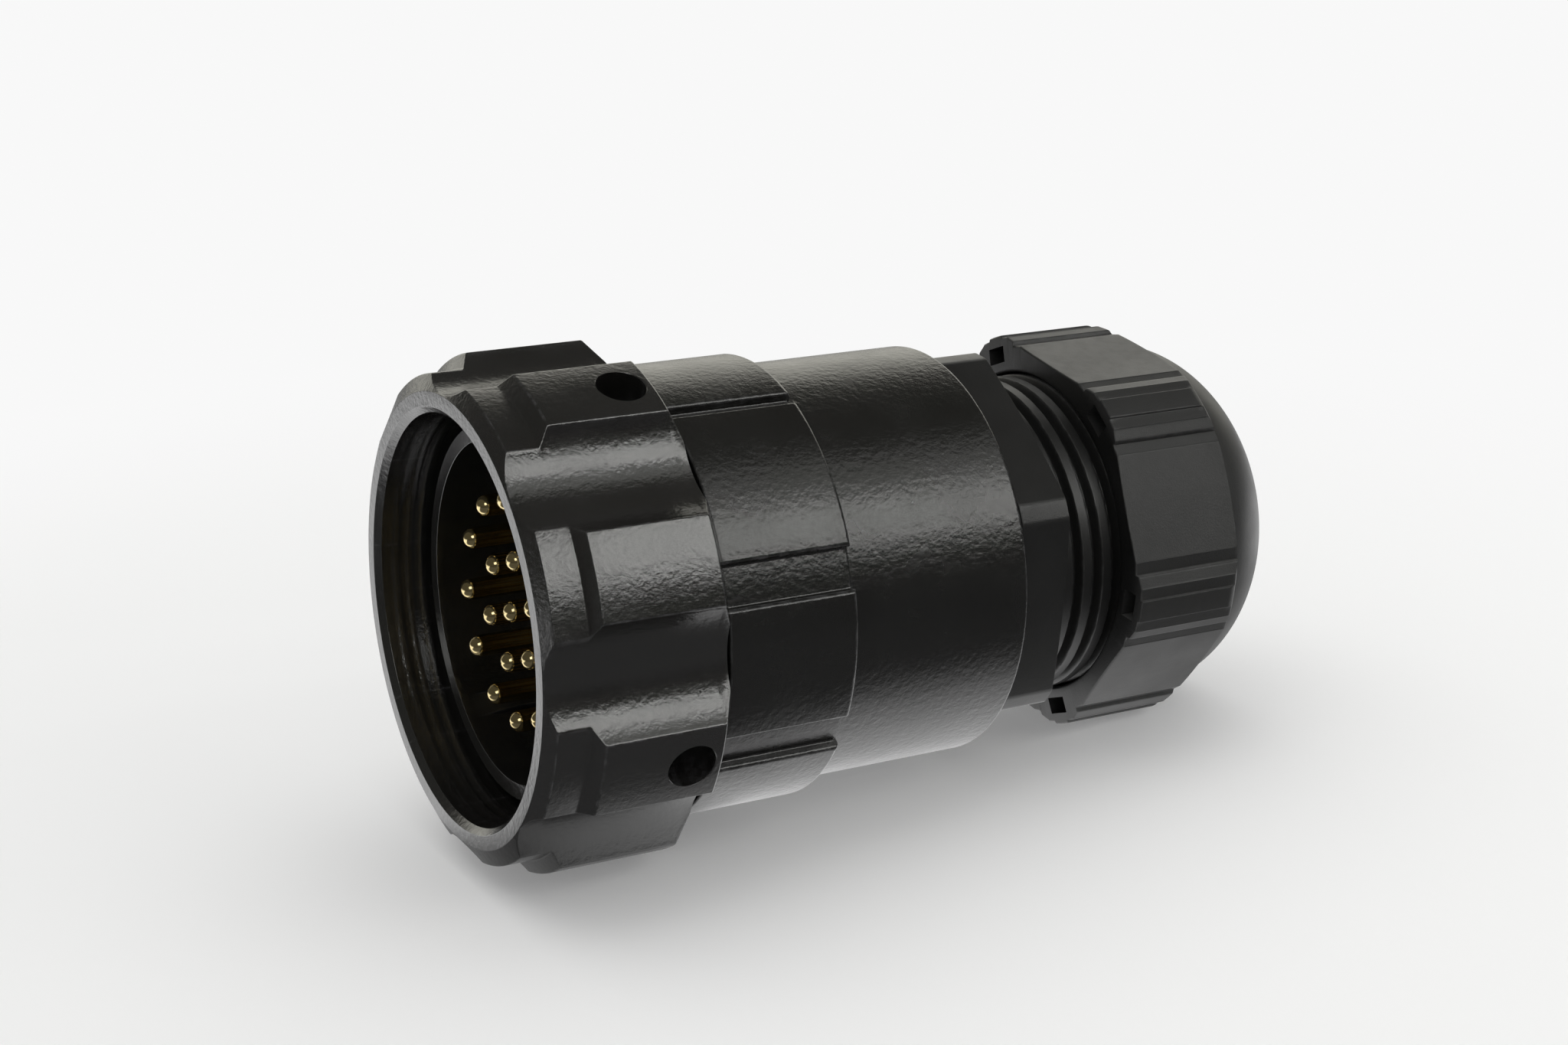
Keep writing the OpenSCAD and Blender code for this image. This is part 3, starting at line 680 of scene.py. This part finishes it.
def backshell_mesh(s):
    """The backshell: front sleeve, raised pads with recesses between them and the smooth rear body."""
    body, pad, bore, stub = s.body_radius, s.pad_radius, 20.5 * MM, 18.4 * MM
    front, pad_front, pad_rear, stub_start, rear = 18 * MM, 20.65 * MM, 35.8 * MM, 51.2 * MM, 57.7 * MM
    rows = rounded_profile([
        (bore, front, 0.1 * MM), (body, front, 0.15 * MM), (body, pad_front, 0),
        (pad, pad_front, 0.25 * MM), (pad, pad_rear, 0.7 * MM), (body, pad_rear, 0.08 * MM),
        *[(body, x * MM, 0) for x in (40, 45, 50)],
        (body, rear, 0.5 * MM), (stub, rear, 0.15 * MM), (stub, stub_start, 0.15 * MM), (bore, stub_start, 0),
    ], 6)
    roll, height = pad_columns(s)
    row_radius, place = rows[:, :1], rows[:, 1:]
    floor = s.recess_radius - (s.recess_radius - body) * ease(place, pad_rear - 0.35 * MM, pad_rear)
    raised = (row_radius > body + 0.02 * MM) & (place > pad_front - 0.05 * MM)
    radius = np.where(raised, np.minimum(row_radius, floor + height), row_radius)
    return closed_mesh("backshell_dressed", around(radius, place, roll))


def gland_mesh(s):
    """The gland body: stub, chamfered hexagon with a lip over the gasket, and threaded neck."""
    stub, gasket, throat, seat = 18.4 * MM, 20.12 * MM, 13.6 * MM, 15 * MM
    stub_start, hex_front, hex_start, hex_end = 51.2 * MM, 58.05 * MM, 58.6 * MM, 64.6 * MM
    neck_start, seat_place, run_out, neck_end = 64.7 * MM, 70 * MM, 79 * MM, 80.2 * MM
    chamfer, cone_end = 0.4 * MM, s.hex_flat - 0.2 * MM
    cone = [(r, hex_end - chamfer * (r - cone_end) / (s.hex_corner - cone_end), 0)
            for r in np.linspace(s.hex_corner - 0.15 * MM, s.hex_flat + 0.02 * MM, 9)]
    profile = rounded_profile([
        (throat, stub_start, 0.2 * MM), (stub, stub_start, 0.3 * MM), (stub, hex_start, 0),
        (gasket, hex_start, 0), (gasket, hex_front, 0.04 * MM), (s.hex_corner, hex_front, 0.25 * MM),
        (s.hex_corner, hex_end - chamfer, 0.12 * MM), *cone, (cone_end, hex_end, 0.1 * MM),
        (s.neck_radius, hex_end, 0), (s.neck_radius, neck_start, 0), (s.neck_radius, neck_end, 0.4 * MM),
        (seat, neck_end, 0.3 * MM), (seat, seat_place, 0), (throat, seat_place, 0.2 * MM),
    ])
    start = np.flatnonzero(np.isclose(profile[:, 1], neck_start))[0]
    thread_rows = along(neck_start + 0.05 * MM, neck_end - 0.5 * MM, s.thread_pitch / 44)
    row_radius, place, on_thread = with_thread_rows(profile, start, s.neck_radius, thread_rows)

    offsets = (-0.25, -0.15, -0.07, 0, 0.07, 0.15, 0.25)
    centre, side, flat, corner, offset = section_columns(HEXAGON, 9, offsets, 2)
    on_hex = (place >= hex_front - 1e-9) & (place <= hex_end + 1e-9) & (row_radius > s.hex_flat)
    least_flat, full_flat = math.radians(1.2), math.acos(s.hex_flat / s.hex_corner)
    edge = np.where(on_hex, np.arccos(np.clip(s.hex_flat / row_radius, -1, 1)), full_flat)
    edge = np.maximum(edge, least_flat)
    from_flat = edge * flat + (math.pi / HEXAGON - edge) * corner + offset / s.hex_corner
    roll = s.hex_roll + math.pi / HEXAGON + centre + side * from_flat
    wall = s.hex_flat / np.cos(from_flat)
    radius = np.where(on_hex, soft_min(row_radius, wall, width=0.2 * MM), row_radius)

    groove_start = s.groove_place + s.thread_pitch * s.groove_roll / FULL_TURN
    groove = 1 - thread_form(place, roll, s.thread_pitch, groove_start, crest=0.42, flank=0.18)
    groove = groove * ease(place, neck_start, neck_start + 0.3 * MM)
    groove = groove * (1 - 0.5 * ease(place, run_out, neck_end))
    radius = radius - np.where(on_thread, s.thread_depth * groove, 0)
    return closed_mesh("gland_body_dressed", around(radius, place, roll))


# Distance in millimetres from the edge of a nut's groove, and share of its depth there.
GROOVE_WALL = ((-0.14, 0), (-0.05, 0.04), (0.0, 0.2), (0.05, 0.85), (0.12, 1))


def nut_columns(s):
    """Roll angles around the nut, as angles from a flat's middle, with the radius of the hexagon there."""
    def outline(turn):
        return min(s.corner, s.flat / math.cos(turn))

    def plain(*degrees):
        return [(math.radians(d), outline(math.radians(d))) for d in degrees]

    half = s.groove_width / 2
    section = [(y * MM - half, d) for y, d in GROOVE_WALL] + [(0, 1)]
    section += [(half - y * MM, d) for y, d in GROOVE_WALL[::-1]]
    points = plain(0, 2, 4, 6, 8, 10, 12, 14, 15.3)
    for from_corner, following in ((11.9, (20.6, 21.6, 22.5)), (5, (27.4, 28.3, 29.2))):
        middle = math.radians(30 - from_corner)
        floor = outline(middle) - s.groove_depth
        for y, depth in section:
            turn = middle + math.atan2(y, floor)
            points.append((turn, outline(turn) * (1 - depth) + floor / math.cos(turn - middle) * depth))
        points += plain(*following)
    roll, radius = [], []
    for i in range(HEXAGON):
        centre, following = (FULL_TURN * k / HEXAGON for k in (i, i + 1))
        roll += [centre + a for a, _ in points] + [centre + math.pi / HEXAGON]
        roll += [following - a for a, _ in points[:0:-1]]
        radius += [r for _, r in points] + [s.corner] + [r for _, r in points[:0:-1]]
    return np.array(roll), np.array(radius)


def nut_mesh(s):
    """The gland nut: grooved hexagon, shoulder that runs out on the flats, and dome with the cable hole."""
    shoulder_rise, root, front_edge = 2.2 * MM, s.dome_radius - 1 * MM, 0.22 * MM
    shoulder_end, dome_start = math.radians(79), math.radians(8.6)
    bore, inner_bore, cage_bore = 18.8 * MM, 16.7 * MM, 13.9 * MM
    bore_end, cone_start, cone_end = 83.5 * MM, 84.9 * MM, 91.5 * MM
    roll, wall = nut_columns(s)
    front = s.front + 0.3 * MM * np.clip((wall - s.flat) / (s.corner - s.flat), 0, None)
    turn = np.arccos(np.clip((wall - root) / (s.corner - root), -1, 1))
    crest = s.dome_place + shoulder_rise * np.sin(turn)
    rows = []
    for t in (1.0, 0.7, 0.3, 0.0):
        a = math.pi / 2 * t
        rows.append((wall - front_edge * (1 - math.cos(a)), front + front_edge * (1 - math.sin(a))))
    for t in (0.08, 0.3, 0.55, 0.8, 0.93, 0.97, 0.985):
        rows.append((wall, front + front_edge + (crest - front - front_edge) * t))
    for t in (0.02, 0.06, 0.12, 0.25, 0.4, 0.6, 0.8, 0.92):
        a = turn + (shoulder_end - turn) * t
        rows.append((root + (s.corner - root) * np.cos(a), s.dome_place + shoulder_rise * np.sin(a)))
    dome_end = math.asin((s.end - s.dome_place) / s.dome_height)
    for t in (0.0, 0.015, 0.04, 0.08, *np.linspace(0.13, 0.985, 26)):
        a = dome_start + (dome_end - dome_start) * t
        rows.append((s.dome_radius * math.cos(a), s.dome_place + s.dome_height * math.sin(a)))
    rows += list(rounded_profile([
        (s.cable_hole, s.end, 0.25 * MM), (s.cable_hole, cone_end, 0.1 * MM), (cage_bore, cone_end, 0),
        (inner_bore, cone_start, 0), (inner_bore, bore_end, 0), (bore, bore_end, 0),
        (bore, s.front, 0.4 * MM), (bore + 0.8 * MM, s.front, 0),
    ]))
    radius, place = (np.array([np.broadcast_to(row[k], wall.shape) for row in rows]) for k in (0, 1))
    return closed_mesh("gland_nut_dressed", around(radius, place, s.roll + math.pi / HEXAGON + roll))


class PLUG_OT_ring(Operator):
    """Builds the fluted coupling ring with its thread and spanner holes"""
    bl_idname = "plug.ring"
    bl_label = "Coupling ring"

    def execute(self, context):
        s = context.scene.plug_ring
        mesh = ring_mesh(s)
        piece = dressed("fluted_ring", mesh, "coupling_ring", "coupling_ring", "anodised")
        floor, top, holes = s.lug_radius - s.hole_depth, s.lug_radius, s.lugs // 2
        rings = [(s.hole_radius * 0.96, floor), (s.hole_radius, floor + 0.15 * MM),
                 (s.hole_radius, top - 0.12 * MM), (s.hole_radius + 0.3 * MM, top + 0.2 * MM)]
        cutters = bmesh.new()
        for i in range(holes):
            turned_cutter(cutters, rings, radial_matrix(s.hole_place, s.hole_roll + FULL_TURN * i / holes))
        cut(piece, cutters)
        even_normals(piece)
        return {"FINISHED"}


class PLUG_OT_shell(Operator):
    """Builds the plug shell with its rounded rim and polarising key"""
    bl_idname = "plug.shell"
    bl_label = "Plug shell"

    def execute(self, context):
        mesh = shell_mesh(context.scene.plug_shell)
        even_normals(dressed("keyed_barrel", mesh, "plug_body", "plug_shell", "anodised"))
        return {"FINISHED"}


class PLUG_OT_pins(Operator):
    """Puts a gold contact in each place of the insulator"""
    bl_idname = "plug.pins"
    bl_label = "Contacts"

    def execute(self, context):
        s = context.scene.plug_pins
        places = [(0, 0)]
        for circle, first, pins in ((s.inner_circle, s.inner_roll, s.inner_pins),
                                    (s.outer_circle, s.outer_roll, s.outer_pins)):
            places += [(circle, first + FULL_TURN * i / pins) for i in range(pins)]
        mesh = pin_mesh(s)
        for i, (radius, roll) in enumerate(places, 1):
            piece = dressed(f"pin_{i:02d}", mesh, "plug_body", f"contact_{i:02d}", "gold")
            piece.location = (s.tip_place, radius * math.sin(roll), radius * math.cos(roll))
            even_normals(piece)
        return {"FINISHED"}


class PLUG_OT_backshell(Operator):
    """Builds the painted backshell with its raised pads"""
    bl_idname = "plug.backshell"
    bl_label = "Backshell"

    def execute(self, context):
        mesh = backshell_mesh(context.scene.plug_backshell)
        even_normals(dressed("padded_backshell", mesh, "plug_body", "backshell", "paint"))
        return {"FINISHED"}


class PLUG_OT_gland(Operator):
    """Builds the gland body with its hexagon and coarse thread"""
    bl_idname = "plug.gland"
    bl_label = "Gland body"

    def execute(self, context):
        mesh = gland_mesh(context.scene.plug_gland)
        even_normals(dressed("threaded_neck", mesh, "plug_body", "gland_body", "nylon"))
        return {"FINISHED"}


class PLUG_OT_nut(Operator):
    """Builds the domed gland nut with its grooves and pockets"""
    bl_idname = "plug.nut"
    bl_label = "Gland nut"

    def execute(self, context):
        s = context.scene.plug_nut
        piece = dressed("domed_nut", nut_mesh(s), "gland_nut", "gland_nut", "matte_nylon")
        half = s.pocket_width / 2
        low = Vector((-1 * MM, -half, s.pocket_radius))
        high = Vector((s.pocket_depth, half, s.pocket_radius + s.pocket_height))
        cutters = bmesh.new()
        for i in range(HEXAGON):
            box_cutter(cutters, low, high, radial_matrix(s.front, s.roll + FULL_TURN * i / HEXAGON))
        cut(piece, cutters)
        even_normals(piece)
        return {"FINISHED"}


class PLUG_OT_inner(Operator):
    """Gives the seals, insulators, retaining ring and clamping cage their finishes"""
    bl_idname = "plug.inner"
    bl_label = "Inner pieces"

    def execute(self, context):
        finishes = {
            "mating_seal": "rubber", "gland_gasket": "rubber", "sealing_insert": "rubber",
            "front_insulator": "insulator", "rear_insulator": "insulator",
            "insulator_retainer": "anodised", "clamping_cage": "nylon",
        }
        for node, key in finishes.items():
            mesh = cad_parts[node].data
            mesh.materials.clear()
            mesh.materials.append(finish(key))
        return {"FINISHED"}


def lamp(name, place, aim, width, height, radiance):
    """Lamp whose width lies along the plug and whose face has a given brightness."""
    data = bpy.data.lights.new(name, "AREA")
    data.shape, data.size, data.size_y = "RECTANGLE", width, height
    data.energy = radiance * math.pi * width * height
    data.color = (1, 1, 0.97)
    made = put(name, data)
    made.location = place
    back = (Vector(place) - Vector(aim)).normalized()
    side = (Vector((1, 0, 0)) - back * back.x).normalized()
    made.rotation_mode = "QUATERNION"
    made.rotation_quaternion = Matrix((side, back.cross(side), back)).transposed().to_quaternion()
    return made


def floor_material(base):
    """Pale floor that takes the shadow and is white far off. Mirrored, it glows as a painted reflection:
    white, dark in front, with painted shade near the ring's contact and under the nut.

    The limits of the steps are places and distances in metres.
    """
    material = bpy.data.materials.new("Pale floor")
    material.use_nodes = True
    tree = material.node_tree
    shader = fill(tree, tree.nodes["Principled BSDF"], Base_Color=(*base, 1), Roughness=0.9,
                  Specular_IOR_Level=0.0)
    spot = tree.nodes.new("ShaderNodeNewGeometry").outputs["Position"]
    x, y, _ = split_node(tree, spot)
    rays = tree.nodes.new("ShaderNodeLightPath")
    distance = vector_node(tree, "LENGTH", spot)
    far = step_node(tree, distance, 0.11, 0.24, 0.18, 1.0)
    white = add_node(tree, "ShaderNodeEmission", Color=(0.94, 0.94, 0.94, 1))
    seen = mixed_shader(tree, product_node(tree, far, rays.outputs["Is Camera Ray"]),
                        shader.outputs["BSDF"], white.outputs["Emission"])

    # Painted reflection: mirror rays see the floor glow, dark in front, with painted shade near the ring's
    # contact and under the nut, and brighter past the nut.
    left = step_node(tree, x, -0.035, 0.015, -0.06, -0.007)
    right = step_node(tree, x, 0.015, 0.05, 0.0, 0.007)
    slanted = math_node(tree, "ADD", y, math_node(tree, "ADD", left, right))
    front = step_node(tree, slanted, -0.0395, -0.0135, 0.08, 1.15)
    near = step_node(tree, distance, 0.16, 0.5, 1.0, 0.2)
    from_contact = vector_node(tree, "DISTANCE", spot, (0.01, 0, -0.0275))
    open_floor = step_node(tree, from_contact, 0.013, 0.024, 0.25, 1.0)
    under_nut = step_node(tree, x, 0.065, 0.095, 1.0, 0.65)
    past_nut = step_node(tree, x, 0.12, 0.17, 1.0, 2.0)
    lit = product_node(tree, front, near, open_floor, under_nut, past_nut)
    mirrored = add_node(tree, "ShaderNodeEmission", Strength=lit)
    final = mixed_shader(tree, rays.outputs["Is Glossy Ray"], seen, mirrored.outputs["Emission"])
    fill(tree, tree.nodes["Material Output"], Surface=final)
    return material


def studio_world(radiance):
    """Even room light. The camera sees it white, and mirrored it is dark but for the horizon behind."""
    world = bpy.data.worlds.new("Studio")
    bpy.context.scene.world = world
    world.use_nodes = True
    tree = world.node_tree
    room = fill(tree, tree.nodes["Background"], Color=(1, 1, 1, 1), Strength=radiance)
    white = add_node(tree, "ShaderNodeBackground", Color=(0.95, 0.95, 0.95, 1))
    direction = tree.nodes.new("ShaderNodeTexCoord").outputs["Generated"]
    low = step_node(tree, split_node(tree, direction)[2], 0.68, 0.5)
    towards = vector_node(tree, "DOT_PRODUCT", direction, (0.45, 0.89, 0))
    behind = step_node(tree, towards, 0.55, 0.8)
    darkest = 0.055
    glow = add_node(tree, "ShaderNodeMath", product_node(tree, low, behind), operation="ADD")
    glow.inputs[1].default_value = darkest
    mirrored = add_node(tree, "ShaderNodeBackground", Color=(1, 0.98, 0.88, 1),
                        Strength=glow.outputs["Value"])
    rays = tree.nodes.new("ShaderNodeLightPath")
    lit = mixed_shader(tree, rays.outputs["Is Glossy Ray"], room.outputs["Background"],
                       mirrored.outputs["Background"])
    final = mixed_shader(tree, rays.outputs["Is Camera Ray"], lit, white.outputs["Background"])
    fill(tree, tree.nodes["World Output"], Surface=final)


class PLUG_OT_stage(Operator):
    """Sets up the floor, the lamps, the room and the camera"""
    bl_idname = "plug.stage"
    bl_label = "Stage"

    def add_floor(self, s):
        half_width = 6
        shape = bmesh.new()
        bmesh.ops.create_grid(shape, x_segments=1, y_segments=1, size=half_width)
        mesh = bpy.data.meshes.new("floor")
        shape.to_mesh(mesh)
        shape.free()
        mesh.materials.append(floor_material(s.floor))
        floor = put("floor", mesh)
        floor.location = (s.floor_rest_place, 0, s.floor_rest)
        floor.rotation_euler = (0, -s.floor_tilt, 0)

    def add_lamps(self, s):
        """A softbox of three strips, as long again to the left for reflections, and soft light above."""
        middle = (45 * MM, 0, 0)
        key_x, side_x, strip_width, strip_height = 0.2745, -0.1255, 0.4, 0.036
        for i, (y, z) in enumerate(((-0.315, 0.312), (-0.36, 0.259), (-0.397, 0.198)), 1):
            lamp(f"key strip {i}", (key_x, y, z), middle, strip_width, strip_height, s.key_radiance)
            side = lamp(f"side strip {i}", (side_x, y, z), middle, strip_width, strip_height, s.key_radiance)
            side.visible_diffuse = False
        lamp("upper softbox", (key_x, -0.229, 0.381), middle, strip_width, 0.2, s.upper_radiance)
        above = lamp("light above", (0.05, 0.25, 0.8), middle, 1.2, 1.2, s.fill_radiance)
        above.visible_glossy = False

    def add_camera(self, context, s):
        data = bpy.data.cameras.new("photo camera")
        data.sensor_width, data.sensor_fit, data.lens = 36, "HORIZONTAL", s.focal_length
        data.clip_start, data.clip_end = 0.01, 50
        camera = put("photo camera", data)
        camera.location = s.camera_place
        camera.rotation_mode = "QUATERNION"
        sight = (Vector(s.camera_aim) - Vector(s.camera_place)).to_track_quat("-Z", "Y")
        camera.rotation_quaternion = sight @ Quaternion((0, 0, 1), s.camera_roll)
        context.scene.camera = camera

    def execute(self, context):
        s = context.scene.plug_stage
        self.add_floor(s)
        self.add_lamps(s)
        studio_world(s.room_radiance)
        context.scene.view_settings.view_transform = "Standard"
        self.add_camera(context, s)
        return {"FINISHED"}


class PLUG_PT_pieces(Panel):
    """Lists the pieces of the plug and the sizes that can be changed"""
    bl_label = "Cable plug"
    bl_idname = "PLUG_PT_pieces"
    bl_space_type = "VIEW_3D"
    bl_region_type = "UI"
    bl_category = "Cable plug"

    def draw(self, context):
        for operator, settings, _ in STEPS:
            box = self.layout.box()
            box.operator(operator.bl_idname)
            group = getattr(context.scene, settings)
            for name in group.__annotations__:
                box.prop(group, name)


# Each operator, with the name and class of the settings that it reads.
STEPS = (
    (PLUG_OT_ring, "plug_ring", RingSettings), (PLUG_OT_shell, "plug_shell", ShellSettings),
    (PLUG_OT_pins, "plug_pins", PinSettings), (PLUG_OT_backshell, "plug_backshell", BackshellSettings),
    (PLUG_OT_gland, "plug_gland", GlandSettings), (PLUG_OT_nut, "plug_nut", NutSettings),
    (PLUG_OT_inner, "plug_finish", FinishSettings), (PLUG_OT_stage, "plug_stage", StageSettings),
)


def register():
    for operator, name, group in STEPS:
        bpy.utils.register_class(group)
        bpy.utils.register_class(operator)
        setattr(bpy.types.Scene, name, PointerProperty(type=group))
    bpy.utils.register_class(PLUG_PT_pieces)


def unregister():
    bpy.utils.unregister_class(PLUG_PT_pieces)
    for operator, name, group in reversed(STEPS):
        delattr(bpy.types.Scene, name)
        bpy.utils.unregister_class(operator)
        bpy.utils.unregister_class(group)


def main():
    register()
    for name in ("ring", "shell", "pins", "backshell", "gland", "nut", "inner", "stage"):
        getattr(bpy.ops.plug, name)()


if __name__ == "__main__":
    main()
